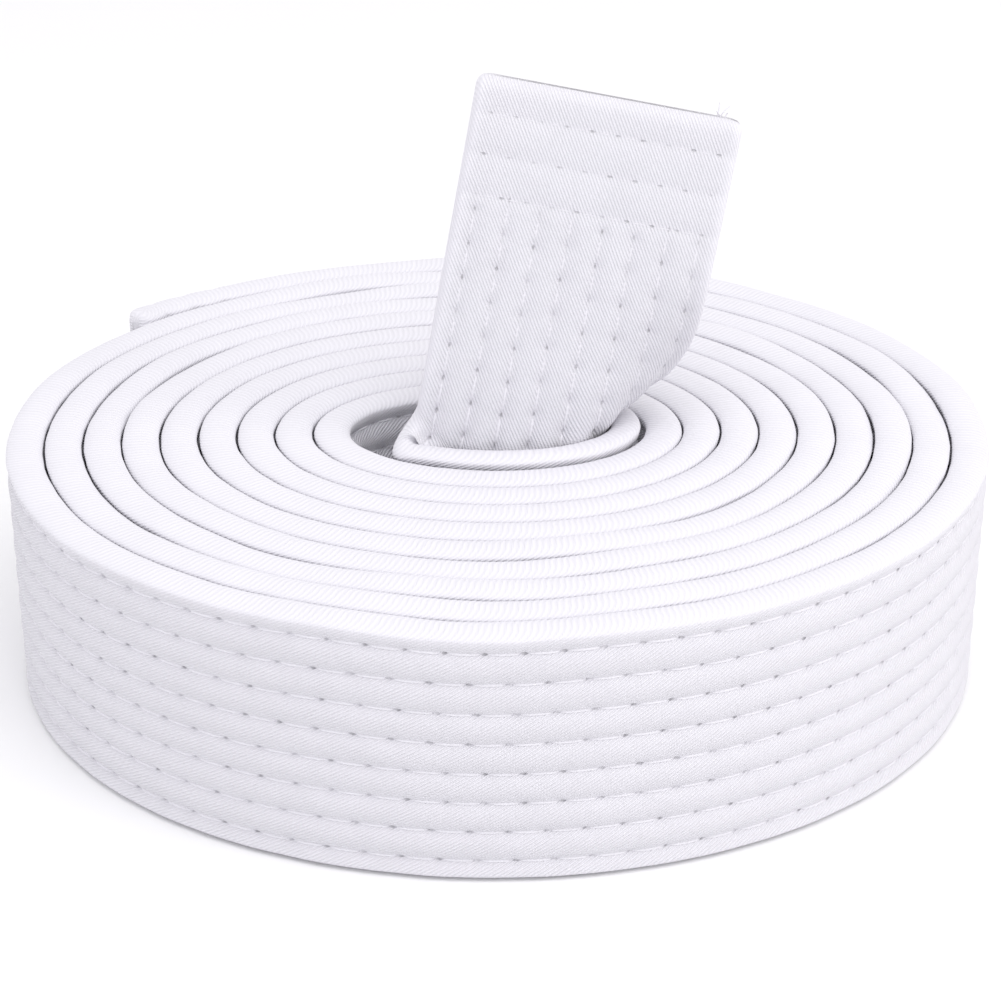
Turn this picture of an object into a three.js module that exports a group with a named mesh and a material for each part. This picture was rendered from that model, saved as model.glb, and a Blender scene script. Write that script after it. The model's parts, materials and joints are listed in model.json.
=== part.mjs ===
// A padded martial-arts belt, wound on its edge into a flat oval coil.
// The outer end lies free along the back of the coil. The inner end is folded up on a slant
// inside the coil's opening and stands above the rim.
// Units are millimetres and degrees, +Z is up, and the coil stands on z = 0.
// The origin is the centre of the object's box, at its base.

import * as THREE from "three";

// The belt's own section
const beltWidth = 40;
const beltThickness = 4.6;
const edgeChamfer = 1.0;
const coverThickness = 0.7;
const coreClearance = 0.55;
const seamGap = 0.3;

// The stitching
const rowCount = 8;
const rowMargin = 3.1;
const threadWidth = 0.6;
const threadHeight = 0.3;
const threadClearance = 0.33;
const endRowSetbacks = [5.2, 11.3, 17.4];
const endRowMargin = 2.6;
const rowStopSetback = 18.4;

// The coil: an oval spiral that runs clockwise, seen from above, from the outer end inwards
const turns = 9.71;
const tailAngle = 142;
const openingHalfLength = 17.3;
const openingHalfDepth = 8.9;
const sideGap = 1.36;
const endGap = 1.29;
const centreDrift = 0.21;
const stationsPerTurn = 16;

// The slanted fold and the standing end
const standLean = 10.5;
const standLeanBack = 8;
const standLeanBackFrom = 42;
const standLength = 68;
const foldLift = 0.8;
const foldLiftTurns = 0.35;
const foldGap = 0.8;
const frontBendRadius = 28;
const endBendRadius = 7.7;
const frontBendLength = 13.6;
const curlTop = 56;
const curlBase = 37.5;

// The two bending places
const tailLength = 58;
const flapLength = 29;
const hingeGap = 0.1;
const tailBevel = 25.2;
const flapBevel = 22.7;

const colours = { cover: 0xf4f3f6, core: 0xe9e4d8, thread: 0xfbfbfd };

const radians = THREE.MathUtils.degToRad;
const mix = THREE.MathUtils.lerp;
const up = new THREE.Vector3(0, 0, 1);
const halfThickness = beltThickness / 2;
const rowSpacing = (beltWidth - 2 * rowMargin) / (rowCount - 1);
const rowHeights = Array.from({ length: rowCount }, (_, row) => rowMargin + row * rowSpacing);

const foldAngle = radians((90 + standLean) / 2);
const foldRun = beltWidth / Math.tan(foldAngle);
const foldRadius = halfThickness + foldGap / 2;

// ---- The coil's centreline, at a number of turns from the outer end

function coilAngle(turn) {
  return radians(tailAngle) - 2 * Math.PI * turn;
}

// The last turn rises a little, so that the thick fold at its end clears the floor
function coilLift(turn) {
  const end = turns - foldRun / (2 * Math.PI * openingHalfLength);
  return foldLift * THREE.MathUtils.smoothstep(turn, end - foldLiftTurns, end);
}

function coilPoint(turn) {
  const left = turns - turn;
  const halfLength = openingHalfLength + halfThickness + left * (beltThickness + sideGap);
  const halfDepth = openingHalfDepth + halfThickness + left * (beltThickness + endGap);
  const angle = coilAngle(turn);
  const x = halfLength * Math.cos(angle);
  const y = halfDepth * Math.sin(angle) - centreDrift * turn;
  return new THREE.Vector3(x, y, coilLift(turn));
}

function coilSpeed(turn) {
  const step = 1e-4;
  return coilPoint(turn + step).distanceTo(coilPoint(turn - step)) / (2 * step);
}

function turnAfter(turn, distance) {
  const steps = 400;
  let reached = turn;
  for (let step = 0; step < steps; step += 1) {
    reached += distance / steps / coilSpeed(reached);
  }
  return reached;
}

// ---- The fold. A place on the belt is given by its distance before the end of the coil,
// ---- negative past it, and by its height across the belt.

const foldAcross = Math.sin(foldAngle);
const foldAlong = Math.cos(foldAngle);
const foldLength = Math.PI * foldRadius;

const ringSteps = 240;
const ringReach = foldRun + 12;
const ringTurns = [turns];
for (let step = 1; step <= ringSteps; step += 1) {
  const last = ringTurns[step - 1];
  ringTurns.push(last - ringReach / ringSteps / coilSpeed(last));
}

function ringPoint(distance) {
  const place = THREE.MathUtils.clamp((distance / ringReach) * ringSteps, 0, ringSteps - 1e-6);
  const index = Math.floor(place);
  const point = coilPoint(mix(ringTurns[index], ringTurns[index + 1], place - index));
  const shortfall = Math.min(distance, 0);
  return point.addScaledVector(ringStart, shortfall);
}

function risen(point, height) {
  point.z += height;
  return point;
}

const ringStart = coilPoint(ringTurns[1]).sub(coilPoint(turns)).setZ(0).normalize();
const ringOutward = new THREE.Vector3().crossVectors(ringStart, up);
const standAnchor = coilPoint(turns).addScaledVector(ringOutward, -2 * foldRadius);
const standHeading = Math.atan2(ringStart.y, ringStart.x);

// The standing layer curls round the end of the opening and opens out flat above the rim
function curlAt(height) {
  return 1 - THREE.MathUtils.smoothstep(height, curlBase, curlTop);
}

function standPoint(distance, height) {
  const curl = curlAt(height);
  const steps = 24;
  const stride = distance / steps;
  const point = standAnchor.clone();
  for (let step = 0; step < steps; step += 1) {
    const middle = (step + 0.5) * stride;
    const bend = middle / frontBendRadius + Math.max(0, middle - frontBendLength) / endBendRadius;
    const heading = curl * (standHeading + bend);
    point.x += stride * Math.cos(heading);
    point.y += stride * Math.sin(heading);
  }
  const rise = Math.max(0, height - standLeanBackFrom);
  const easing = 10;
  const eased = rise < easing ? (rise * rise) / (2 * easing) : rise - easing / 2;
  point.y += eased * Math.tan(radians(standLeanBack));
  point.z = height + foldLift;
  return point;
}

function beltPoint(distance, height) {
  const past = (distance - foldRun * (1 - height / beltWidth)) * foldAcross;
  if (past >= 0) {
    return risen(ringPoint(distance), height);
  }
  const line = (distance - foldRun) * -foldAlong + height * foldAcross;
  const turned = Math.min(Math.PI, -past / foldRadius);
  const across = past > -foldLength ? -foldRadius * Math.sin(turned) : -past - foldLength;
  const flatDistance = foldRun - line * foldAlong + across * foldAcross;
  const flatHeight = line * foldAcross + across * foldAlong;
  const front = risen(ringPoint(flatDistance), flatHeight);
  return front.lerp(standPoint(flatDistance, flatHeight), (1 - Math.cos(turned)) / 2);
}

function beltSolidPoint(distance, height, depth) {
  const step = 0.02;
  const along = beltPoint(distance + step, height).sub(beltPoint(distance - step, height));
  const across = beltPoint(distance, height + step).sub(beltPoint(distance, height - step));
  const outward = along.cross(across).normalize();
  return beltPoint(distance, height).addScaledVector(outward, depth);
}

function coilSolidPoint(turn, height, depth) {
  const step = 1e-4;
  const along = coilPoint(turn - step).sub(coilPoint(turn + step));
  const outward = along.cross(up).normalize();
  return risen(coilPoint(turn), height).addScaledVector(outward, depth);
}

// ---- Stations: each turns a height across the belt and a depth from its middle into a point

function bevelled(depth, bevel) {
  return hingeGap / 2 + Math.abs(depth) * Math.tan(radians(bevel));
}

function turnStation(turn) {
  return (height, depth) => coilSolidPoint(turn, height, depth);
}

function turnEndStation(turn, side) {
  const speed = coilSpeed(turn);
  return (height, depth) =>
    coilSolidPoint(turn + (side * bevelled(depth, tailBevel)) / speed, height, depth);
}

function beltStation(distanceAt) {
  return (height, depth) => beltSolidPoint(distanceAt(height), height, depth);
}

function beltEndStation(distance, side) {
  return (height, depth) =>
    beltSolidPoint(distance + side * bevelled(depth, flapBevel), height, depth);
}

function sharedTurns(from, to) {
  const inside = [];
  const clear = 0.25 / stationsPerTurn;
  const offset = tailAngle / 360;
  const first = Math.ceil((from - offset) * stationsPerTurn);
  for (let index = first; index / stationsPerTurn + offset < to; index += 1) {
    const turn = index / stationsPerTurn + offset;
    if (turn > from + clear && turn < to - clear) {
      inside.push(turn);
    }
  }
  return inside;
}

const tailHinge = turnAfter(0, tailLength);
const beltEnd = foldRun / 2 - foldLength / foldAcross - standLength;
const flapHinge = beltEnd + flapLength;
const approachStart = foldRun + 3;
const approachTurn = turnAfter(turns, -approachStart);
const foldLine = (height) => foldRun * (1 - height / beltWidth);
const approachSteps = 8;
const foldSteps = 5;
const riseSteps = 15;

const tailStations = [
  turnStation(0),
  ...sharedTurns(0, tailHinge).map(turnStation),
  turnEndStation(tailHinge, -1),
];

const coilStations = [
  turnEndStation(tailHinge, 1),
  ...sharedTurns(tailHinge, approachTurn).map(turnStation),
];

const foldStations = [];
for (let step = 0; step < approachSteps; step += 1) {
  foldStations.push(beltStation((height) => mix(approachStart, foldLine(height), step / approachSteps)));
}
for (let step = 0; step < foldSteps; step += 1) {
  const used = ((step / foldSteps) * foldLength) / foldAcross;
  foldStations.push(beltStation((height) => foldLine(height) - used));
}
for (let step = 0; step < riseSteps; step += 1) {
  const used = foldLength / foldAcross;
  foldStations.push(beltStation((height) => mix(foldLine(height) - used, flapHinge, step / riseSteps)));
}
foldStations.push(beltEndStation(flapHinge, 1));

const flapStations = [
  beltEndStation(flapHinge, -1),
  beltStation(() => flapHinge - flapLength / 2),
  beltStation(() => beltEnd),
];

// ---- Sections, as loops of [height across the belt, depth from its middle]

const seamHeight = rowHeights[0] + rowSpacing / 2;

function coverSection() {
  const outer = halfThickness;
  const inner = halfThickness - coverThickness;
  const low = coverThickness;
  const high = beltWidth - coverThickness;
  return [
    [seamHeight - seamGap / 2, -outer],
    [edgeChamfer, -outer],
    [0, -outer + edgeChamfer],
    [0, outer - edgeChamfer],
    [edgeChamfer, outer],
    [beltWidth - edgeChamfer, outer],
    [beltWidth, outer - edgeChamfer],
    [beltWidth, -outer + edgeChamfer],
    [beltWidth - edgeChamfer, -outer],
    [seamHeight + seamGap / 2, -outer],
    [seamHeight + seamGap / 2, -inner],
    [high, -inner],
    [high, inner],
    [low, inner],
    [low, -inner],
    [seamHeight - seamGap / 2, -inner],
  ];
}

function coreSection() {
  const wall = coverThickness + coreClearance;
  const depth = halfThickness - wall;
  return [
    [wall, -depth],
    [beltWidth - wall, -depth],
    [beltWidth - wall, depth],
    [wall, depth],
  ];
}

function threadSection(height, face) {
  const seat = halfThickness + threadClearance;
  const loop = [
    [height - threadWidth / 2, seat],
    [height, seat + threadHeight],
    [height + threadWidth / 2, seat],
  ];
  return face > 0 ? loop : loop.map(([across, depth]) => [across, -depth]).reverse();
}

// The same loop with a corner wherever one of its long sides passes a stitch row
function dividedSection(section) {
  const points = [];
  const corners = [];
  section.forEach(([height, depth], index) => {
    const [nextHeight, nextDepth] = section[(index + 1) % section.length];
    corners.push(points.length);
    points.push([height, depth]);
    const rows = rowHeights.filter((row) => (row - height) * (row - nextHeight) < 0);
    if (nextHeight < height) {
      rows.reverse();
    }
    for (const row of rows) {
      points.push([row, mix(depth, nextDepth, (row - height) / (nextHeight - height))]);
    }
  });
  return { points, corners };
}

// ---- A loft through stations. The first stations use the plain section and the rest the
// ---- divided one, and the step between them is closed by fans of triangles.

function loft(section, plainStations, dividedStations = []) {
  const divided = dividedSection(section);
  const rings = plainStations.map((station) => ({ station, loop: section }));
  dividedStations.forEach((station) => rings.push({ station, loop: divided.points }));
  const positions = [];
  const indices = [];
  const starts = [];
  for (const { station, loop } of rings) {
    starts.push(positions.length / 3);
    loop.forEach(([height, depth]) => positions.push(...station(height, depth).toArray()));
  }
  for (let ring = 0; ring + 1 < rings.length; ring += 1) {
    const count = rings[ring].loop.length;
    const nextCount = rings[ring + 1].loop.length;
    const [start, next] = [starts[ring], starts[ring + 1]];
    for (let index = 0; index < count; index += 1) {
      const after = (index + 1) % count;
      const from = count === nextCount ? index : divided.corners[index];
      const to = count === nextCount ? after : divided.corners[after];
      for (let near = from; near !== to; near = (near + 1) % nextCount) {
        indices.push(start + index, next + near, next + ((near + 1) % nextCount));
      }
      indices.push(start + index, next + to, start + after);
    }
  }
  const last = rings.length - 1;
  cap(rings[0].loop).forEach(([a, b, c]) => indices.push(a, b, c));
  cap(rings[last].loop).forEach(([a, b, c]) => {
    indices.push(starts[last] + a, starts[last] + c, starts[last] + b);
  });
  return outwardGeometry(positions, indices);
}

// An end face. Its outline is bent a little while it is divided into triangles, so that no
// three corners lie on one line and every corner is used.
function cap(loop) {
  const bend = 0.002;
  const outline = loop.map(([height, depth]) => {
    return new THREE.Vector2(height, depth + bend * (height - beltWidth / 2) ** 2);
  });
  const faces = THREE.ShapeUtils.triangulateShape(outline, []);
  const [a, b, c] = faces[0].map((index) => outline[index]);
  const facing = b.clone().sub(a).cross(c.clone().sub(a));
  const sameWay = facing > 0 === THREE.ShapeUtils.area(outline) > 0;
  return sameWay ? faces : faces.map(([first, second, third]) => [first, third, second]);
}

function outwardGeometry(positions, indices) {
  const corner = (index) => new THREE.Vector3().fromArray(positions, 3 * index);
  let volume = 0;
  for (let index = 0; index < indices.length; index += 3) {
    const [a, b, c] = indices.slice(index, index + 3).map(corner);
    volume += a.dot(b.cross(c));
  }
  if (volume < 0) {
    indices.reverse();
  }
  const geometry = new THREE.BufferGeometry();
  geometry.setAttribute("position", new THREE.Float32BufferAttribute(positions, 3));
  geometry.setIndex(indices);
  geometry.computeVertexNormals();
  return geometry;
}

// ---- The pieces

const belt = new THREE.Group();

function material(colour) {
  return new THREE.MeshStandardMaterial({ color: colour, roughness: 0.9, metalness: 0 });
}

const materials = {
  cover: material(colours.cover),
  core: material(colours.core),
  thread: material(colours.thread),
};

function addPiece(name, geometry, finish) {
  const mesh = new THREE.Mesh(geometry, materials[finish]);
  mesh.name = name;
  belt.add(mesh);
}

// The cover and the core of one stretch of belt
function addStretch(name, plainStations, dividedStations) {
  addPiece(`cover_${name}`, loft(coverSection(), plainStations, dividedStations), "cover");
  addPiece(`core_${name}`, loft(coreSection(), plainStations, dividedStations), "core");
}

// The long stitch rows of one stretch
function addRows(name, stations, face) {
  rowHeights.forEach((height, row) => {
    const geometry = loft(threadSection(height, face), stations);
    addPiece(`stitch_row_${row + 1}_${name}`, geometry, "thread");
  });
}

// The short rows sewn across the belt near an end
function addEndRows(name, stationAt, face) {
  endRowSetbacks.forEach((setback, row) => {
    const ends = [endRowMargin, beltWidth - endRowMargin];
    const stations = ends.map((height) => (along, depth) => stationAt(setback + along)(height, depth));
    const section = threadSection(0, 1).map(([along, depth]) => [along, face * depth]);
    addPiece(`end_stitch_${row + 1}_${name}`, loft(section, stations), "thread");
  });
}

const rowStopTurn = turnAfter(0, rowStopSetback);
const rowStopDistance = beltEnd + rowStopSetback;
const coilFace = 1;
const flapFace = -1;

addStretch("coil", coilStations, foldStations);
addRows("coil", [...coilStations, ...foldStations], coilFace);

addStretch("outer_tail", tailStations);
addRows(
  "outer_tail",
  [
    turnStation(rowStopTurn),
    ...sharedTurns(rowStopTurn, tailHinge).map(turnStation),
    turnEndStation(tailHinge, -1),
  ],
  coilFace,
);
addEndRows("outer_tail", (setback) => turnStation(turnAfter(0, setback)), coilFace);

addStretch("standing_end", [], flapStations);
addRows(
  "standing_end",
  [beltEndStation(flapHinge, -1), beltStation(() => rowStopDistance)],
  flapFace,
);
addEndRows("standing_end", (setback) => beltStation(() => beltEnd + setback), flapFace);

// ---- The origin: the centre of the whole object's box, at its base

const box = new THREE.Box3().setFromObject(belt);
const centre = box.getCenter(new THREE.Vector3());
belt.children.forEach((mesh) => mesh.position.set(-centre.x, -centre.y, -box.min.z));

export default belt;
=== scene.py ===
# %% [markdown]
# # A padded belt, coiled on its edge
# A martial-arts belt is a flat tube of cotton twill over a few plies of interlining, sewn
# together with eight long rows of lockstitch. The stitches pull the cloth down and the
# padding swells up between them, so each face is a set of soft channels.
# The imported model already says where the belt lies. It is loaded first, and nothing in it
# is moved.

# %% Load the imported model
import json
import math

import bpy
import numpy as np
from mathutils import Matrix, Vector


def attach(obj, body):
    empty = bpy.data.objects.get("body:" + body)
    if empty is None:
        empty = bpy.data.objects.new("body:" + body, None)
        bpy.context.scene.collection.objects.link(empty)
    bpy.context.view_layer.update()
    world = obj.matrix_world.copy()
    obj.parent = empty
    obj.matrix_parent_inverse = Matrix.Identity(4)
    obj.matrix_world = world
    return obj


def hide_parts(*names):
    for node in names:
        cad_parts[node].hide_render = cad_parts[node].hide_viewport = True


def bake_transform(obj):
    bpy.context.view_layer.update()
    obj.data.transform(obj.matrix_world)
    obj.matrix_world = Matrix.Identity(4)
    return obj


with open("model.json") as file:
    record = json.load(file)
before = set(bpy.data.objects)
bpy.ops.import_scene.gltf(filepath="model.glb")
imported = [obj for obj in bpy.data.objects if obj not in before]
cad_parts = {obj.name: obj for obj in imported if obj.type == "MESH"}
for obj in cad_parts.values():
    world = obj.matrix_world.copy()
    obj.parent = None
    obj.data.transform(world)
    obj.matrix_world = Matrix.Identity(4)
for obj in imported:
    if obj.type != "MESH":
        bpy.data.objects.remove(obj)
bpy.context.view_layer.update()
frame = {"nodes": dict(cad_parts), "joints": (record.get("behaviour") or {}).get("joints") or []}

MM = 0.001

# %% [markdown]
# ## The camera and the light
# Pale cloth on a pale floor is a high-key picture: broad soft lamps from all round, and only
# the grooves and the gaps between the turns go dark. A long lens keeps the oval calm.

# %% Camera
camera_place = Vector((0.51, -363.6, 210.7)) * MM
camera_target = Vector((0.36, 10.6, 19.7)) * MM
lens_data = bpy.data.cameras.new("camera")
lens_data.lens = 91.6
lens_data.sensor_width = 36.0
lens_data.clip_start = 0.01
lens_data.clip_end = 20.0
camera = bpy.data.objects.new("camera", lens_data)
camera.location = camera_place
camera.rotation_euler = (camera_target - camera_place).to_track_quat("-Z", "Y").to_euler()
bpy.context.scene.collection.objects.link(camera)
bpy.context.scene.camera = camera
bpy.context.scene.view_settings.view_transform = "Standard"
print("camera looks down", round(math.degrees(math.pi / 2 - camera.rotation_euler.x), 1), "degrees")

# %% Lamps and the sky
def add_lamp(name, place, target, width, watts, colour):
    lamp = bpy.data.lights.new(name, "AREA")
    lamp.shape = "DISK"
    lamp.size = width
    lamp.energy = watts
    lamp.color = colour
    lamp_object = bpy.data.objects.new(name, lamp)
    lamp_object.location = place
    aim = Vector(target) - Vector(place)
    lamp_object.rotation_euler = aim.to_track_quat("-Z", "Y").to_euler()
    bpy.context.scene.collection.objects.link(lamp_object)


belt_middle = (0.0, 0.0, 0.03)
add_lamp("top_softbox", (0.15, -0.40, 0.88), belt_middle, 0.7, 3.0, (1.0, 1.0, 1.0))
add_lamp("left_softbox", (-0.9, -0.45, 0.5), belt_middle, 0.6, 0.9, (0.93, 0.94, 1.0))
add_lamp("right_softbox", (0.9, -0.35, 0.45), belt_middle, 0.6, 2.4, (1.0, 0.98, 0.95))

world = bpy.data.worlds.new("pale_room")
world.use_nodes = True
background = world.node_tree.nodes["Background"]
background.inputs["Color"].default_value = (0.99, 0.98, 1.0, 1.0)
background.inputs["Strength"].default_value = 0.95
bpy.context.scene.world = world

# %% [markdown]
# ## The belt's sizes
# These are the frame's own sizes, in metres. The cloth may stand a little prouder than the
# plain solid, so its greatest half thickness is a value of its own.

# %% Sizes of the belt
belt_width = 40 * MM
solid_thickness = 4.6 * MM
row_count = 8
row_margin = 3.1 * MM
row_spacing = (belt_width - 2 * row_margin) / (row_count - 1)
row_heights = row_margin + row_spacing * np.arange(row_count)
end_row_setbacks = np.array([5.2, 11.3, 17.4]) * MM
end_row_spacing = end_row_setbacks[1] - end_row_setbacks[0]
end_row_margin = 2.6 * MM
row_stop_setback = 18.4 * MM
print("stitch rows every", round(row_spacing / MM, 2), "mm across the belt")

# %% Sizes of the coil and the fold
turns = 9.71
tail_angle = math.radians(142)
opening_half_length = 17.3 * MM
opening_half_depth = 8.9 * MM
side_gap = 1.36 * MM
end_gap = 1.29 * MM
centre_drift = 0.21 * MM
fold_angle = math.radians((90 + 10.5) / 2)
fold_run = belt_width / math.tan(fold_angle)
fold_radius = solid_thickness / 2 + 0.4 * MM
fold_length = math.pi * fold_radius
fold_across = math.sin(fold_angle)
fold_along = math.cos(fold_angle)
fold_lift = 0.8 * MM
fold_lift_turns = 0.35
stand_lean_back = math.radians(8)
stand_lean_back_from = 42 * MM
stand_length = 68 * MM
front_bend_radius = 28 * MM
end_bend_radius = 5.5 * MM
front_bend_length = 18.5 * MM
curl_base = 36.5 * MM
curl_fade = 6 * MM
curl_power = 1.7
flat_from = 50 * MM
flat_above = 68 * MM
tail_length = 58 * MM
flap_length = 29 * MM
nose_length = 4.2 * MM
nose_reach = (2 * MM, 28 * MM)

# %% [markdown]
# ## The path of the belt
# The belt is followed by its own length: `along` runs from the outer end, round the oval
# spiral to the fold, and up the standing end. A second number, `height`, goes across the
# belt. Two numbers give one point in space, so cloth and stitches can share one map and
# always fit each other.

# %% The coil's centreline
def smooth_step(value, low, high):
    share = np.clip((value - low) / (high - low), 0, 1)
    return share * share * (3 - 2 * share)


def coil_centre(turn):
    left = turns - turn
    half_length = opening_half_length + solid_thickness / 2 + left * (solid_thickness + side_gap)
    half_depth = opening_half_depth + solid_thickness / 2 + left * (solid_thickness + end_gap)
    angle = tail_angle - 2 * np.pi * turn
    lift_end = turns - fold_run / (2 * np.pi * opening_half_length)
    lift = fold_lift * smooth_step(turn, lift_end - fold_lift_turns, lift_end)
    x = half_length * np.cos(angle)
    y = half_depth * np.sin(angle) - centre_drift * turn
    return np.stack([x, y, lift], axis=-1)


turn_table = np.linspace(0, turns, 120001)
table_steps = np.linalg.norm(np.diff(coil_centre(turn_table), axis=0), axis=1)
length_table = np.concatenate([[0], np.cumsum(table_steps)])
coil_length = length_table[-1]
belt_end = coil_length - fold_run / 2 + fold_length / fold_across + stand_length
flap_hinge = belt_end - flap_length
print("coil", round(coil_length, 3), "m, whole belt", round(belt_end, 3), "m")

# %% The origin of the frame
# The centre of the whole coil's box is the origin, so the tail's hinge says how far the
# spiral's own centre lies from it.
tail_joint = next(j for j in frame["joints"] if j["name"] == "outer_tail_peel")
hinge_turn = np.interp(tail_length, length_table, turn_table)
origin_shift = coil_centre(hinge_turn) - np.array(tail_joint["pos_m"])
origin_shift[2] = 0
print("origin shift", np.round(origin_shift / MM, 3), "mm")

# %% The fold and the standing end
ring_start = coil_centre(turns - 0.001) - coil_centre(turns)
ring_start[2] = 0
ring_start /= np.linalg.norm(ring_start)
ring_outward = np.cross(ring_start, (0, 0, 1))
stand_anchor = coil_centre(turns) - 2 * fold_radius * ring_outward
stand_heading = math.atan2(ring_start[1], ring_start[0])


def ring_point(distance):
    distance = distance - nose_length * (1 - smooth_step(distance, *nose_reach))
    turn = np.interp(coil_length - distance, length_table, turn_table)
    return coil_centre(turn) + np.minimum(distance, 0)[..., None] * ring_start


def curl_at(height):
    """How far the layer still follows the opening: 1 deep inside, 0 where it stands flat."""
    rise = np.maximum(0, height - curl_base) / curl_fade
    return (1 - smooth_step(height, flat_from, flat_above)) / (1 + rise**curl_power)


def stand_point(distance, height):
    curl = curl_at(height)
    steps = 24
    stride = distance / steps
    x = np.full_like(distance, stand_anchor[0])
    y = np.full_like(distance, stand_anchor[1])
    for step in range(steps):
        middle = (step + 0.5) * stride
        end_bend = np.maximum(0, middle - front_bend_length) / end_bend_radius
        heading = curl * (stand_heading + middle / front_bend_radius + end_bend)
        x += stride * np.cos(heading)
        y += stride * np.sin(heading)
    rise = np.maximum(0, height - stand_lean_back_from)
    easing = 10 * MM
    eased = np.where(rise < easing, rise * rise / (2 * easing), rise - easing / 2)
    y += eased * math.tan(stand_lean_back)
    return np.stack([x, y, height + fold_lift], axis=-1)


# %% One map from the belt's own length and width to the frame
def raised(point, height):
    point[..., 2] += height
    return point


def belt_point(along, height):
    distance = coil_length - along
    past = (distance - fold_run * (1 - height / belt_width)) * fold_across
    point = raised(ring_point(distance), height)
    folded = past < 0
    if folded.any():
        distance, height, past = distance[folded], height[folded], past[folded]
        line = (fold_run - distance) * fold_along + height * fold_across
        turned = np.minimum(np.pi, -past / fold_radius)
        round_it = -fold_radius * np.sin(turned)
        across = np.where(past > -fold_length, round_it, -past - fold_length)
        flat_distance = fold_run - line * fold_along + across * fold_across
        flat_height = line * fold_across + across * fold_along
        front = raised(ring_point(flat_distance), flat_height)
        back = stand_point(flat_distance, flat_height)
        share = ((1 - np.cos(turned)) / 2)[..., None]
        point[folded] = front * (1 - share) + back * share
    return point


# %% [markdown]
# ## How the cloth swells
# Between two rows the padding pushes the cloth out, at a row the thread pulls it in, and at
# each needle hole there is a small pit. Both long edges are folded cloth, so they are round.
# A few slow waves, drawn once from a fixed seed, keep the turns from looking machined.

# %% Half of the belt's thickness at any place
# The turns lie closer at the front of the oval than at its back, so the cloth is thinner there.
coil_half = 2.72 * MM
snug_half = 0.22 * MM
fold_half = 2.30 * MM
flap_half = 2.45 * MM
puff_power = 0.72
row_sink = 0.78 * MM
flap_calm = 0.45
end_row_sink = 0.46 * MM
end_row_reach = 2.6 * MM
wrinkle_size = 0.16 * MM
pit_depth = 0.30 * MM
pit_length = 0.9 * MM
pit_width = 0.8 * MM
end_flatness = 0.3
fold_ease = np.array([-62, -44]) * MM
flap_ease = np.array([8, 24]) * MM
rows_ease = np.array([-1.0, 2.0]) * MM
end_rows_ease = np.array([0, 2.5]) * MM
edge_round = 0.95 * MM
end_round = 2.2 * MM
least_half = 0.15 * MM
stitch_pitch = 5.3 * MM
end_stitch_pitch = 3.8 * MM
end_stitch_count = int((belt_width - 2 * end_row_margin) / end_stitch_pitch)
end_hole_first = (belt_width - end_stitch_count * end_stitch_pitch) / 2
steps_per_stitch = 5

seeded = np.random.default_rng(7)
wave_count = 9
wave_lengths = seeded.uniform(5, 19, wave_count) * MM
wave_widths = seeded.uniform(6, 26, wave_count) * MM
wave_starts = seeded.uniform(0, 2 * np.pi, (2, wave_count))


def puff(distance, reach):
    return np.sin(np.pi / 2 * np.minimum(distance / reach, 1)) ** puff_power


def row_phase(row):
    return (row * row % steps_per_stitch) / steps_per_stitch


def wrinkle(along, height):
    total = np.zeros_like(along)
    for length, width, start, side in zip(wave_lengths, wave_widths, *wave_starts):
        total += np.sin(2 * np.pi * along / length + start) * np.cos(2 * np.pi * height / width + side)
    return total / wave_count


def on_flap(along):
    """0 on the coil and 1 on the standing layer."""
    return smooth_step(along, *(coil_length + flap_ease))


def rounding(distance, radius):
    return np.sqrt(1 - (1 - np.minimum(distance / radius, 1)) ** 2)


def half_thickness(along, height):
    from_end = np.minimum(along, belt_end - along)
    from_edge = np.minimum(height, belt_width - height)
    row = np.clip(np.round((height - row_margin) / row_spacing), 0, row_count - 1)
    from_row = np.abs(height - row_margin - row * row_spacing)
    hole = along / stitch_pitch - row_phase(row)
    from_hole = np.abs(hole - np.round(hole)) * stitch_pitch
    sewn = smooth_step(from_end, *(row_stop_setback + rows_ease))
    from_end_row = np.abs(from_end[..., None] - end_row_setbacks).min(axis=-1)
    end_sewn = 1 - smooth_step(from_end, *(row_stop_setback + end_rows_ease))

    angle = tail_angle - 2 * np.pi * np.interp(along, length_table, turn_table)
    swell = coil_half + snug_half * (1 + np.sin(angle)) / 2
    swell += (fold_half - swell) * smooth_step(along, *(coil_length + fold_ease))
    swell += (flap_half - fold_half) * on_flap(along)
    swell += wrinkle_size * wrinkle(along, height) * puff(from_row, row_spacing / 2)
    sunk = row_sink * sewn * (1 - puff(from_row, row_spacing / 2))
    sunk += end_row_sink * end_sewn * (1 - puff(from_end_row, end_row_reach))
    sunk *= 1 - flap_calm * on_flap(along)
    pit = np.exp(-((from_hole / pit_length) ** 2) - (from_row / pit_width) ** 2)
    half = swell - sunk - pit_depth * sewn * pit
    half *= rounding(from_edge, edge_round)
    half *= end_flatness + (1 - end_flatness) * rounding(from_end, end_round)
    return np.where(from_edge > 0, np.maximum(half, least_half), 0)


sample_height = row_heights[3] + np.array([0, 0.5]) * row_spacing
sample_half = half_thickness(np.full(2, 1.0), sample_height)
print("thickness at a row and between rows", np.round(2 * sample_half / MM, 2), "mm")

# %% The soft place of a cloth point
# The turns wander a little sideways, and the rim rises and falls, but not near the fold.
sway_lengths = np.array([47, 71, 113]) * MM
sway_offset = 1.7
sway_size = 0.05 * MM
steady_ease = np.array([-120, -60]) * MM
rim_size = 0.40 * MM
rim_wave_stretch = 1.37
rim_wave_shift = 200 * MM


def softened(along):
    steady = 1 - smooth_step(along, *(coil_length + steady_ease))
    ways = [
        np.sin(2 * np.pi * along / length + sway_offset * n) for n, length in enumerate(sway_lengths)
    ]
    return steady * sum(ways) / len(ways)


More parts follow.
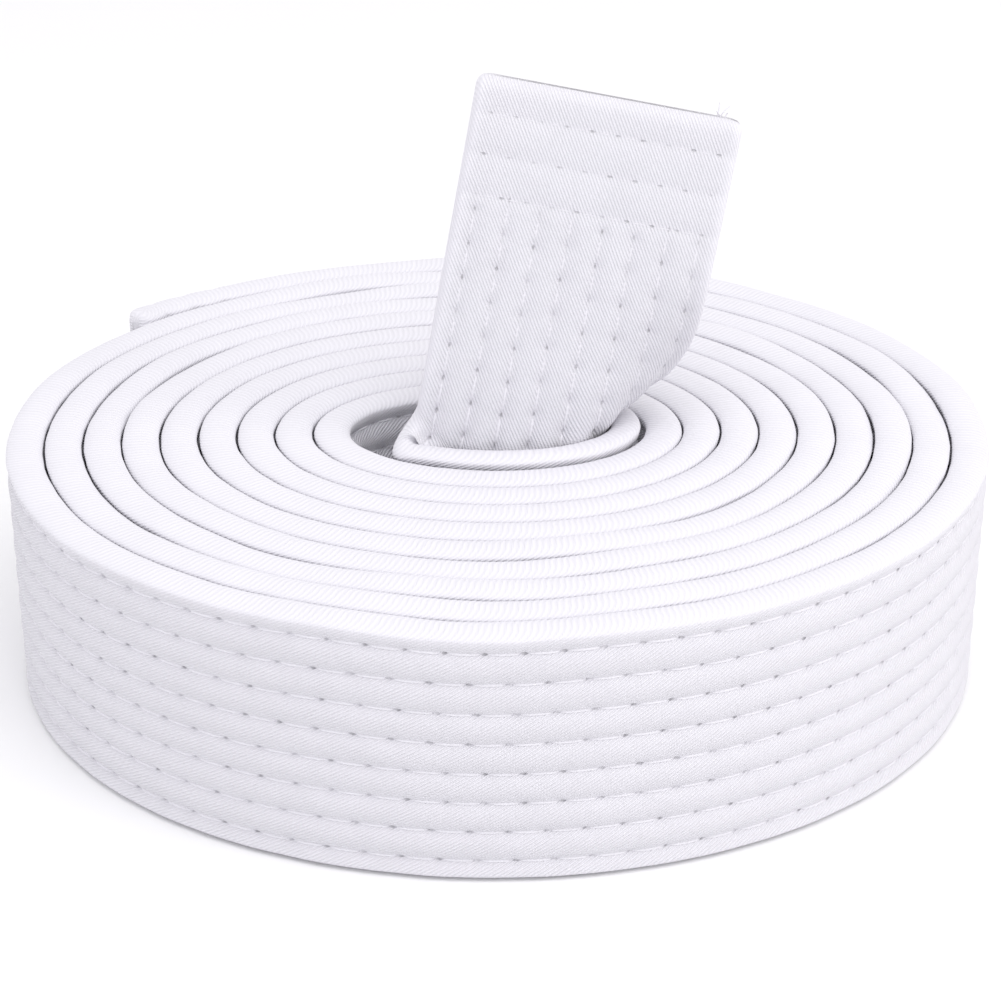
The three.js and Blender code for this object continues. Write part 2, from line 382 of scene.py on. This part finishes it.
def cloth_point(along, height, depth):
    step = 0.02 * MM
    ahead = belt_point(along - step, height) - belt_point(along + step, height)
    across = belt_point(along, height + step) - belt_point(along, height - step)
    outward = np.cross(ahead, across)
    outward /= np.linalg.norm(outward, axis=-1, keepdims=True)
    soft = softened(along)
    point = belt_point(along, height) + (depth + sway_size * soft)[..., None] * outward
    rise = softened(along * rim_wave_stretch + rim_wave_shift)
    point[..., 2] += rim_size * rise * np.clip(height / belt_width, 0, 1)
    return point - origin_shift


# %% [markdown]
# ## The cloth as a mesh
# A swept section is the direct way to a sewn strap: rings of points round the belt, one
# behind the other, joined by four-sided faces. The rings are closest where the camera is
# nearest. Every ring comes from the same map, so two neighbouring pieces share their ring.

# %% Rings, faces and the cloth's own map
least_stride = 0.3
end_ring_angles = (0.45, 0.8, 1.15)


def section_heights(edge_steps, row_steps):
    quarter = np.linspace(0, np.pi / 2, edge_steps + 1)
    edge = edge_round * (1 - np.cos(quarter))
    low = np.concatenate([edge, [(edge_round + row_margin) / 2]])
    inner = np.linspace(row_heights[0], row_heights[-1], (row_count - 1) * row_steps + 1)
    return np.concatenate([low, inner, belt_width - low[::-1]])


def stations(start, stop, step):
    first = math.ceil((start + least_stride * step) / step)
    last = math.floor((stop - least_stride * step) / step)
    places = [start, *(step * np.arange(first, last + 1)), stop]
    if start == 0:
        places[1:1] = [end_round * (1 - math.cos(a)) for a in end_ring_angles]
    if stop == belt_end:
        places[-1:-1] = [belt_end - end_round * (1 - math.cos(a)) for a in end_ring_angles[::-1]]
    return np.array(sorted(places))


corner_round = 1.8 * MM
corner_reach = 7 * MM


def with_round_corners(along, height):
    from_edge = np.minimum(height, belt_width - height)
    inset = corner_round * (1 - rounding(from_edge, corner_round))
    squeeze = np.clip(1 - np.minimum(along, belt_end - along) / corner_reach, 0, 1)
    return along + inset * squeeze * np.where(along < belt_end / 2, 1, -1)


def swept_cloth(name, start, stop, step, edge_steps, row_steps):
    heights = section_heights(edge_steps, row_steps)
    loop = np.concatenate([heights, heights[-2:0:-1]])
    face = np.concatenate([np.ones(len(heights)), -np.ones(len(heights) - 2)])
    places = stations(start, stop, step)
    along, height = np.meshgrid(places, loop, indexing="ij")
    side = np.broadcast_to(face, along.shape)
    half = half_thickness(along, height)
    points = cloth_point(with_round_corners(along, height), height, side * half)
    girth = np.where(side > 0, height, 2 * belt_width - height)
    return sheet_mesh(name, points, places, girth[0], len(heights))


def sheet_mesh(name, points, places, girth, face_count):
    rings, count = points.shape[:2]
    ring, corner = np.meshgrid(np.arange(rings - 1), np.arange(count), indexing="ij")
    after = (corner + 1) % count
    near, far = ring * count, (ring + 1) * count
    quads = np.stack([near + corner, near + after, far + after, far + corner], axis=-1).reshape(-1, 4)
    u = np.stack([places[ring], places[ring], places[ring + 1], places[ring + 1]], axis=-1).reshape(-1, 4)
    closing = np.where(corner + 1 == count, 2 * belt_width, girth[after])
    v = np.stack([girth[corner], closing, closing, girth[corner]], axis=-1).reshape(-1, 4)
    faces = quads.tolist()
    cloth_map = np.stack([u, v], axis=-1).reshape(-1, 2).tolist()
    for base, flip in ((0, False), ((rings - 1) * count, True)):
        for left in range(face_count - 1):
            corners = [left, left + 1, (count - left - 1) % count, (count - left) % count]
            corners = list(dict.fromkeys(corners))
            if flip:
                corners.reverse()
            faces.append([base + c for c in corners])
            cloth_map += [(places[0 if base == 0 else -1], girth[c]) for c in corners]
    mesh = bpy.data.meshes.new(name)
    mesh.from_pydata(points.reshape(-1, 3).tolist(), [], faces)
    layer = mesh.uv_layers.new(name="cloth_map")
    layer.data.foreach_set("uv", np.array(cloth_map, np.float32).ravel())
    mesh.update()
    piece = bpy.data.objects.new(name, mesh)
    bpy.context.scene.collection.objects.link(piece)
    return piece


# %% Face the right way and shade smoothly
def only(piece):
    bpy.ops.object.select_all(action="DESELECT")
    piece.select_set(True)
    bpy.context.view_layer.objects.active = piece


def faced_outwards(piece, smooth_angle):
    only(piece)
    bpy.ops.object.mode_set(mode="EDIT")
    bpy.ops.mesh.select_all(action="SELECT")
    bpy.ops.mesh.normals_make_consistent(inside=False)
    bpy.ops.object.mode_set(mode="OBJECT")
    bpy.ops.object.shade_smooth_by_angle(angle=math.radians(smooth_angle))
    return piece


def report(piece):
    triangles = sum(len(face.vertices) - 2 for face in piece.data.polygons)
    print(f"{piece.name}: {triangles} triangles")


# %% [markdown]
# ## Where the belt is divided
# Two hinges let the belt bend: the standing end over the rim, and the outer tail away from
# the coil. Cloth that crosses a hinge is a piece of its own. The rest of the coil is cut where
# nothing shows.

# %% Cloth pieces
fine_step = stitch_pitch / (2 * steps_per_stitch)
turn_step = stitch_pitch / steps_per_stitch
inner_step = stitch_pitch / 4
tail_bend_reach = 14 * MM
stand_bend_reach = 13 * MM
outer_turn_end = float(np.interp(1.16, turn_table, length_table))
inner_split = float(np.interp(4.4, turn_table, length_table))
fold_start = coil_length + fold_ease[0]

cloth_smooth_angle = 50

cloth_plan = {
    "cloth_outer_tail": (0, tail_length + tail_bend_reach, fine_step, 6, 6),
    "cloth_outer_turn": (tail_length + tail_bend_reach, outer_turn_end, turn_step, 6, 6),
    "cloth_middle_turns": (outer_turn_end, inner_split, inner_step, 6, 3),
    "cloth_inner_turns": (inner_split, fold_start, inner_step, 6, 3),
    "cloth_folded_end": (fold_start, flap_hinge - stand_bend_reach, fine_step, 6, 6),
    "cloth_standing_end": (flap_hinge - stand_bend_reach, belt_end, fine_step, 6, 6),
}
cloth = {}
for name, plan in cloth_plan.items():
    cloth[name] = faced_outwards(swept_cloth(name, *plan), cloth_smooth_angle)
    report(cloth[name])

# %% [markdown]
# ## The lockstitches
# A lockstitch shows as one short thread between two needle holes, on both faces. Each is a
# slim tube that dives into the cloth at its ends. It is laid in the belt's own length and
# width, so it follows every curve. Hidden turns get a simpler tube.

# %% One thread from hole to hole
thread_radius = 0.21 * MM
thread_smooth_angle = 70
thread_flatness = 0.8
thread_ends = (0.04, 0.96)
# How far a thread stands out of the cloth, and dives at its ends, in its own radii.
thread_proud = 0.35
flap_thread_sink = 0.85
thread_dive = 2.3
dive_power = 5


def thread_tube(centre, sides, lengthwise):
    """Rings of points round one stitch, as along, height and depth."""
    corner = np.linspace(0, 2 * np.pi, sides, endpoint=False)
    wide = thread_radius * np.cos(corner)
    deep = thread_flatness * thread_radius * np.sin(corner)
    ring = np.repeat(centre[:, None, :], sides, axis=1)
    ring[..., 1 if lengthwise else 0] += wide
    ring[..., 2] += deep
    return ring


def tube_faces(start, rings, sides):
    """The faces of one closed tube whose points begin at start."""
    faces = []
    for ring in range(rings - 1):
        for corner in range(sides):
            after = (corner + 1) % sides
            near, far = start + ring * sides, start + (ring + 1) * sides
            faces.append((near + corner, near + after, far + after, far + corner))
    faces.append(tuple(range(start + sides - 1, start - 1, -1)))
    faces.append(tuple(range(start + (rings - 1) * sides, start + rings * sides)))
    return faces


def stitch_centre(first, second, fixed, face, rings, lengthwise):
    share = np.linspace(*thread_ends, rings)
    moving = first + (second - first) * share
    still = np.full(rings, fixed)
    along, height = (moving, still) if lengthwise else (still, moving)
    seat = half_thickness(along, height)
    dive = np.abs(2 * share - 1) ** dive_power
    proud = thread_proud - flap_thread_sink * on_flap(along)
    depth = seat + thread_radius * (proud - thread_dive * dive)
    return np.stack([along, height, face * depth], axis=-1)


def tube_mesh(name, points, faces):
    along, height, depth = np.concatenate(points).T
    mesh = bpy.data.meshes.new(name)
    mesh.from_pydata(cloth_point(along, height, depth).tolist(), [], faces)
    piece = bpy.data.objects.new(name, mesh)
    bpy.context.scene.collection.objects.link(piece)
    return faced_outwards(piece, thread_smooth_angle)


def thread_piece(name, stitches):
    """One mesh for many stitches; each stitch is (first, second, fixed, face, fine, lengthwise)."""
    points, faces, start = [], [], 0
    for first, second, fixed, face, fine, lengthwise in stitches:
        rings, sides = (7, 6) if fine else (4, 4)
        centre = stitch_centre(first, second, fixed, face, rings, lengthwise)
        points.append(thread_tube(centre, sides, lengthwise).reshape(-1, 3))
        faces += tube_faces(start, rings, sides)
        start += rings * sides
    return tube_mesh(name, points, faces)


# %% The long rows
def long_row(row, start, stop, first_stitch, last_stitch):
    """The stitches of one row whose middles lie between start and stop."""
    stitches = []
    first_hole = math.floor(start / stitch_pitch) - 1
    last_hole = math.ceil(stop / stitch_pitch) + 1
    for hole in range(first_hole, last_hole):
        near = (hole + row_phase(row)) * stitch_pitch
        far = near + stitch_pitch
        middle = (near + far) / 2
        if not start <= middle < stop or near < first_stitch or far > last_stitch:
            continue
        ends = middle > fold_start or middle < tail_length + 2 * tail_bend_reach
        for face in (1, -1):
            fine = ends or (face > 0 and middle < outer_turn_end)
            stitches.append((near, far, row_heights[row], face, fine, True))
    return stitches


row_first = row_stop_setback - 0.6 * stitch_pitch
row_last = belt_end - row_stop_setback + 0.6 * stitch_pitch
row_plan = {
    "outer_tail": (0, tail_length + tail_bend_reach),
    "coil": (tail_length + tail_bend_reach, flap_hinge - stand_bend_reach),
    "standing_end": (flap_hinge - stand_bend_reach, belt_end),
}
threads = {}
for place, (start, stop) in row_plan.items():
    for row in range(row_count):
        name = f"threads_row_{row + 1}_{place}"
        threads[name] = thread_piece(name, long_row(row, start, stop, row_first, row_last))
    report(threads[name])

# %% The rows sewn across each end
def end_row(along):
    stitches = []
    for index in range(end_stitch_count):
        near = end_hole_first + index * end_stitch_pitch
        for face in (1, -1):
            stitches.append((near, near + end_stitch_pitch, along, face, True, False))
    return stitches


for index, setback in enumerate(end_row_setbacks):
    for place, along in (("outer_tail", setback), ("standing_end", belt_end - setback)):
        name = f"threads_end_row_{index + 1}_{place}"
        threads[name] = thread_piece(name, end_row(along))
report(threads[name])

# %% A few loose thread ends at the corner of the standing end
loose_height = 3.0 * MM
loose_spacing = 0.35 * MM
loose_root = 0.8 * MM
loose_wave = 0.4 * MM
loose_radius = 0.11 * MM
loose_lengths = (1.6 * MM, 3.2 * MM)


def loose_ends(name, count):
    points, faces, start = [], [], 0
    rings, sides = 8, 6
    for index in range(count):
        turn = seeded.uniform(-0.9, 0.9)
        length = seeded.uniform(*loose_lengths)
        share = np.linspace(0, 1, rings)
        along = belt_end - loose_root + length * share * math.cos(turn)
        height = loose_height + loose_spacing * index + length * share**2 * math.sin(turn)
        depth = loose_wave * np.sin(3 * share + index) * share
        corner = np.linspace(0, 2 * np.pi, sides, endpoint=False)
        ring = np.stack([along, height, depth], axis=-1)[:, None, :].repeat(sides, axis=1)
        ring[..., 1] += loose_radius * np.cos(corner)
        ring[..., 2] += loose_radius * np.sin(corner)
        points.append(ring.reshape(-1, 3))
        faces += tube_faces(start, rings, sides)
        start += rings * sides
    return tube_mesh(name, points, faces)


tuft = loose_ends("loose_thread_ends", 4)
report(tuft)

# %% [markdown]
# ## The finishes
# Cotton twill shows fine diagonal ribs, about half a millimetre apart, crossed by finer
# yarns. The pattern is worked out from the cloth's own map, so it runs with the belt round
# every bend and over both edges. The same map marks the needle holes.
# Along the ribs and at the needle holes the colour is also a little darker: painted shade in their
# grooves and pits.

# %% Small helpers for node trees
def new_material(name, colour, roughness, sheen):
    material = bpy.data.materials.new(name)
    material.use_nodes = True
    shader = material.node_tree.nodes["Principled BSDF"]
    shader.inputs["Base Color"].default_value = (*colour, 1.0)
    shader.inputs["Roughness"].default_value = roughness
    shader.inputs["Specular IOR Level"].default_value = 0.25
    shader.inputs["Sheen Weight"].default_value = sheen
    shader.inputs["Sheen Roughness"].default_value = 0.5
    return material, shader


def maths(tree, operation, *values):
    node = tree.nodes.new("ShaderNodeMath")
    node.operation = operation
    for socket, value in zip(node.inputs, values):
        if isinstance(value, (int, float)):
            socket.default_value = value
        else:
            tree.links.new(value, socket)
    return node.outputs[0]


def gently(tree, value, low, high, at_low=0.0, at_high=1.0):
    node = tree.nodes.new("ShaderNodeMapRange")
    node.interpolation_type = "SMOOTHSTEP"
    tree.links.new(value, node.inputs["Value"])
    node.inputs["From Min"].default_value = low
    node.inputs["From Max"].default_value = high
    node.inputs["To Min"].default_value = at_low
    node.inputs["To Max"].default_value = at_high
    return node.outputs["Result"]


def noise(tree, vector, scale, detail):
    node = tree.nodes.new("ShaderNodeTexNoise")
    node.inputs["Scale"].default_value = scale
    node.inputs["Detail"].default_value = detail
    tree.links.new(vector, node.inputs["Vector"])
    return node.outputs["Fac"]


# %% The cloth's map in millimetres
def cloth_coordinates(tree):
    """Length along the belt and height across it, both in millimetres, and the raw map."""
    source = tree.nodes.new("ShaderNodeUVMap")
    source.uv_map = "cloth_map"
    parts = tree.nodes.new("ShaderNodeSeparateXYZ")
    tree.links.new(source.outputs["UV"], parts.inputs["Vector"])
    along = maths(tree, "MULTIPLY", parts.outputs["X"], 1 / MM)
    girth = maths(tree, "MULTIPLY", parts.outputs["Y"], 1 / MM)
    return source.outputs["UV"], along, girth


def distance_to_nearest(tree, value, spacing):
    share = maths(tree, "DIVIDE", value, spacing)
    nearest = maths(tree, "ROUND", share)
    gap = maths(tree, "ABSOLUTE", maths(tree, "SUBTRACT", share, nearest))
    return maths(tree, "MULTIPLY", gap, spacing), nearest


# %% Needle holes, as a mask from 0 to 1
# These sizes are in millimetres, as the cloth's coordinates are.
hole_inner = 0.08
hole_outer = 0.26
hole_stretch = 2.0
long_rows_fade = (row_stop_setback / MM - 3.2, row_stop_setback / MM - 2.2)
end_rows_fade = (row_stop_setback / MM - 0.4, row_stop_setback / MM + 0.2)


def round_spot(tree, across, lengthwise, inner, outer):
    squares = [maths(tree, "MULTIPLY", value, value) for value in (across, lengthwise)]
    reach = maths(tree, "SQRT", maths(tree, "ADD", *squares))
    return gently(tree, reach, inner, outer, 1.0, 0.0)


def uneven(tree, first, second):
    """A steady random strength for each hole."""
    place = tree.nodes.new("ShaderNodeCombineXYZ")
    tree.links.new(first, place.inputs["X"])
    tree.links.new(second, place.inputs["Y"])
    draw = tree.nodes.new("ShaderNodeTexWhiteNoise")
    draw.noise_dimensions = "2D"
    tree.links.new(place.outputs["Vector"], draw.inputs["Vector"])
    return gently(tree, draw.outputs["Value"], 0.0, 1.0, 0.25, 1.0)


def hole_spots(tree, across, row, lengthwise, hole):
    """Marks that are longer along their row, each with its own strength."""
    stretched = maths(tree, "DIVIDE", lengthwise, hole_stretch)
    spots = round_spot(tree, across, stretched, hole_inner, hole_outer)
    return maths(tree, "MULTIPLY", spots, uneven(tree, hole, row))


def needle_holes(tree, along, height, from_end):
    inset = maths(tree, "SUBTRACT", height, row_margin / MM)
    across, row = distance_to_nearest(tree, inset, row_spacing / MM)
    fifths = maths(tree, "MODULO", maths(tree, "MULTIPLY", row, row), float(steps_per_stitch))
    phase = maths(tree, "DIVIDE", fifths, float(steps_per_stitch))
    shifted = maths(tree, "SUBTRACT", along, maths(tree, "MULTIPLY", phase, stitch_pitch / MM))
    lengthwise, hole = distance_to_nearest(tree, shifted, stitch_pitch / MM)
    spots = hole_spots(tree, across, row, lengthwise, hole)
    on_rows = gently(tree, from_end, *long_rows_fade)
    long_holes = maths(tree, "MULTIPLY", spots, on_rows)

    setback = maths(tree, "SUBTRACT", from_end, end_row_setbacks[0] / MM)
    across, row = distance_to_nearest(tree, setback, end_row_spacing / MM)
    inset = maths(tree, "SUBTRACT", height, end_hole_first / MM)
    lengthwise, hole = distance_to_nearest(tree, inset, end_stitch_pitch / MM)
    spots = hole_spots(tree, across, row, lengthwise, hole)
    on_ends = gently(tree, from_end, *end_rows_fade, 1.0, 0.0)
    return maths(tree, "MAXIMUM", long_holes, maths(tree, "MULTIPLY", spots, on_ends))


# %% The twill
rib_pitch = 0.46
rib_turn = math.radians(59)
rib_cos = math.cos(rib_turn)
rib_sin = math.sin(rib_turn)
yarn_pitch = 0.38
relief_shares = {"ribs": 0.55, "yarn": 0.10, "fuzz": 0.55, "holes": 1.5}
rim_relief = 0.5
cloth_shade = 0.955
# The ribs and the needle holes darken the colour as painted shade in their grooves and pits; the patches
# are the cloth's own uneven tone.
tone_and_painted_shade_shares = {"ribs": 0.036, "patches": 0.05, "holes": 0.30}


def twill_cloth():
    material, shader = new_material("cotton_twill", (0.84, 0.835, 0.85), 0.9, 0.18)
    tree = material.node_tree
    uv, along, girth = cloth_coordinates(tree)
    inner_face = maths(tree, "SUBTRACT", 2 * belt_width / MM, girth)
    height = maths(tree, "MINIMUM", girth, inner_face)
    from_end = maths(tree, "MINIMUM", along, maths(tree, "SUBTRACT", belt_end / MM, along))

    slubs = noise(tree, uv, 900.0, 3.0)
    drift = maths(tree, "MULTIPLY", maths(tree, "SUBTRACT", slubs, 0.5), 0.9)
    lengthwise = maths(tree, "MULTIPLY", along, rib_cos)
    diagonal = maths(tree, "ADD", lengthwise, maths(tree, "MULTIPLY", girth, rib_sin))
    ribs = maths(tree, "ADD", maths(tree, "MULTIPLY", diagonal, 2 * math.pi / rib_pitch), drift)
    rib_height = maths(tree, "SINE", ribs)
    yarn = maths(tree, "SINE", maths(tree, "MULTIPLY", along, 2 * math.pi / yarn_pitch))
    fuzz = noise(tree, uv, 5200.0, 2.0)
    patches = noise(tree, uv, 130.0, 2.0)

    relief = maths(tree, "MULTIPLY", rib_height, relief_shares["ribs"])
    relief = maths(tree, "ADD", relief, maths(tree, "MULTIPLY", yarn, relief_shares["yarn"]))
    relief = maths(tree, "ADD", relief, maths(tree, "MULTIPLY", fuzz, relief_shares["fuzz"]))
    from_edge = maths(tree, "MINIMUM", height, maths(tree, "SUBTRACT", belt_width / MM, height))
    relief = maths(tree, "MULTIPLY", relief, gently(tree, from_edge, 0.4, 2.4, rim_relief, 1.0))
    holes = needle_holes(tree, along, height, from_end)
    relief = maths(tree, "SUBTRACT", relief, maths(tree, "MULTIPLY", holes, relief_shares["holes"]))
    bump = tree.nodes.new("ShaderNodeBump")
    bump.inputs["Strength"].default_value = 0.75
    bump.inputs["Distance"].default_value = 0.16 * MM
    tree.links.new(relief, bump.inputs["Height"])
    tree.links.new(bump.outputs["Normal"], shader.inputs["Normal"])

    # Painted shade: the colour is darker in each rib's groove, on top of the bump.
    shade = maths(tree, "ADD", cloth_shade, maths(tree, "MULTIPLY", rib_height, tone_and_painted_shade_shares["ribs"]))
    uneven_tone = maths(tree, "SUBTRACT", patches, 0.5)
    shade = maths(tree, "ADD", shade, maths(tree, "MULTIPLY", uneven_tone, tone_and_painted_shade_shares["patches"]))
    # Painted shade: each needle hole darkens the colour, standing in for the shadow inside its pit.
    painted_hole_shade = maths(tree, "MULTIPLY", holes, tone_and_painted_shade_shares["holes"])
    shade = maths(tree, "MULTIPLY", shade, maths(tree, "SUBTRACT", 1.0, painted_hole_shade))
    tint = tree.nodes.new("ShaderNodeMix")
    tint.data_type = "RGBA"
    tint.inputs["A"].default_value = (0.0, 0.0, 0.0, 1.0)
    tint.inputs["B"].default_value = (0.768, 0.758, 0.805, 1.0)
    tree.links.new(shade, tint.inputs["Factor"])
    tree.links.new(tint.outputs["Result"], shader.inputs["Base Color"])
    return material


twill = twill_cloth()
print("twill nodes:", len(twill.node_tree.nodes))

# %% The sewing thread
def sewing_thread():
    material, shader = new_material("white_thread", (0.93, 0.93, 0.95), 0.6, 0.15)
    tree = material.node_tree
    source = tree.nodes.new("ShaderNodeTexCoord")
    plies = noise(tree, source.outputs["Object"], 4200.0, 2.0)
    bump = tree.nodes.new("ShaderNodeBump")
    bump.inputs["Strength"].default_value = 0.4
    bump.inputs["Distance"].default_value = 0.06 * MM
    tree.links.new(plies, bump.inputs["Height"])
    tree.links.new(bump.outputs["Normal"], shader.inputs["Normal"])
    tone = tree.nodes.new("ShaderNodeValToRGB")
    tone.color_ramp.elements[0].color = (0.725, 0.715, 0.76, 1.0)
    tone.color_ramp.elements[1].color = (0.80, 0.79, 0.835, 1.0)
    tree.links.new(plies, tone.inputs["Fac"])
    tree.links.new(tone.outputs["Color"], shader.inputs["Base Color"])
    return material


white_thread = sewing_thread()
for piece in cloth.values():
    piece.data.materials.append(twill)
for piece in [*threads.values(), tuft]:
    piece.data.materials.append(white_thread)
for node in frame["nodes"].values():
    node.data.materials.clear()
    node.data.materials.append(white_thread if "stitch" in node.name else twill)
print("finished pieces:", len(cloth) + len(threads) + 1)

# %% [markdown]
# ## The floor
# A plain pale sheet, which isn't part of the belt.

# %% Floor
bpy.ops.object.select_all(action="DESELECT")
bpy.ops.mesh.primitive_plane_add(size=12, location=(0, 0, -0.0002))
floor = bpy.context.active_object
floor.name = "pale_floor"
floor_paint, _ = new_material("pale_floor_paint", (0.87, 0.87, 0.875), 0.9, 0.0)
floor.data.materials.append(floor_paint)

# %% [markdown]
# ## Riding on the frame
# Each piece hides the plain solids it stands for. Pieces on the coil, the end rows and the
# loose thread ends move with a body; the rest stays fixed where it was made.


tail_tangent = coil_centre(hinge_turn - 0.001) - coil_centre(hinge_turn + 0.001)
tail_tangent[2] = 0
flap_middle = np.full(2, belt_width / 2)
flap_ends = belt_point(np.array([flap_hinge, belt_end]), flap_middle)

# %% Bodies and stand-ins
def joined(piece, place):
    if place == "coil":
        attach(piece, "coil")
    elif place == "outer_tail":
        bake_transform(piece)
    else:
        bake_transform(piece)


cloth_places = {"cloth_outer_tail": "outer_tail", "cloth_standing_end": "standing_end"}
for name, piece in cloth.items():
    place = cloth_places.get(name, "coil")
    joined(piece, place)
    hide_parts(f"cover_{place}", f"core_{place}")

for place in row_plan:
    for row in range(1, row_count + 1):
        piece = threads[f"threads_row_{row}_{place}"]
        joined(piece, place)
        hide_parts(f"stitch_row_{row}_{place}")

for place in ("outer_tail", "standing_end"):
    for index in range(1, len(end_row_setbacks) + 1):
        piece = threads[f"threads_end_row_{index}_{place}"]
        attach(piece, place)
        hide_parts(f"end_stitch_{index}_{place}")

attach(tuft, "standing_end")
